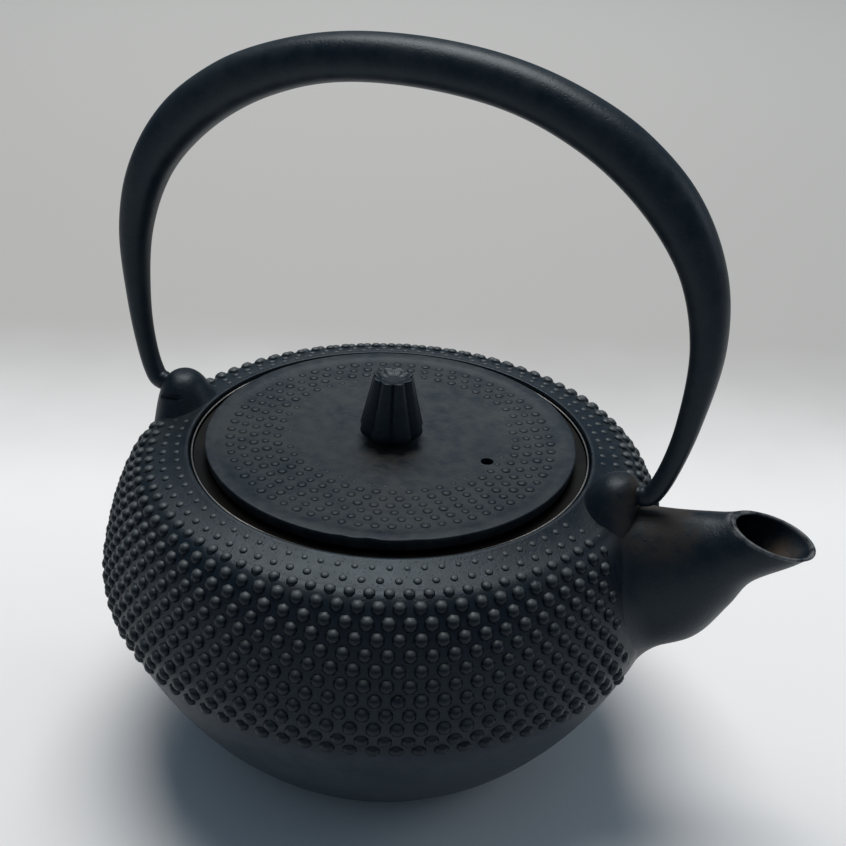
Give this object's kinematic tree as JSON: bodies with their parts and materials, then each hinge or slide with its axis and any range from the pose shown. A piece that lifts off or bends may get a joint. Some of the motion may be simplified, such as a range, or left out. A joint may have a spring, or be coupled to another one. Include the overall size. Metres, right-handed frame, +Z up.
{
  "type": "cast iron kettle",
  "caption": "Squat hobnail cast iron kettle with a swinging bail handle, curved spout, lift-off lid with fluted knob and lift-out mesh infuser.",
  "frame": {"origin": "centre of the flat base, on the body's axis", "axes": "+Z up, +X towards the spout; the handle's pivot line lies along X"},
  "size_m": [0.1859, 0.1468, 0.1834],
  "materials": {
    "body_iron": "satin black cast iron, hobnail texture",
    "handle_iron": "satin black cast iron, fine cast grain",
    "lid_iron": "satin black cast iron, nub band and smooth centre",
    "knob_iron": "satin black cast iron",
    "fastener_steel": "dull steel",
    "infuser_steel": "bright stainless steel"
  },
  "bodies": {
    "pot": {"kettle_body": "body_iron"},
    "handle": {"bail_handle": "handle_iron"},
    "infuser": {"infuser_rim": "infuser_steel", "infuser_mesh_wall": "infuser_steel", "infuser_mesh_floor": "infuser_steel", "infuser_bottom_ring": "infuser_steel"},
    "lid": {"lid_plate": "lid_iron", "lid_knob": "knob_iron", "knob_washer": "fastener_steel", "knob_rivet": "fastener_steel"}
  },
  "joints": [
    {"name": "handle_swing", "type": "hinge", "parent": "pot", "child": "handle", "pos_m": [0, 0, 0.0854], "axis": [1, 0, 0], "range_deg": [-92, 107]},
    {"name": "infuser_lift", "type": "slide", "parent": "pot", "child": "infuser", "axis": [0, 0, 1], "range_m": [0, 0.042]},
    {"name": "lid_lift", "type": "slide", "parent": "infuser", "child": "lid", "axis": [0, 0, 1], "range_m": [0, 0.02]}
  ]
}
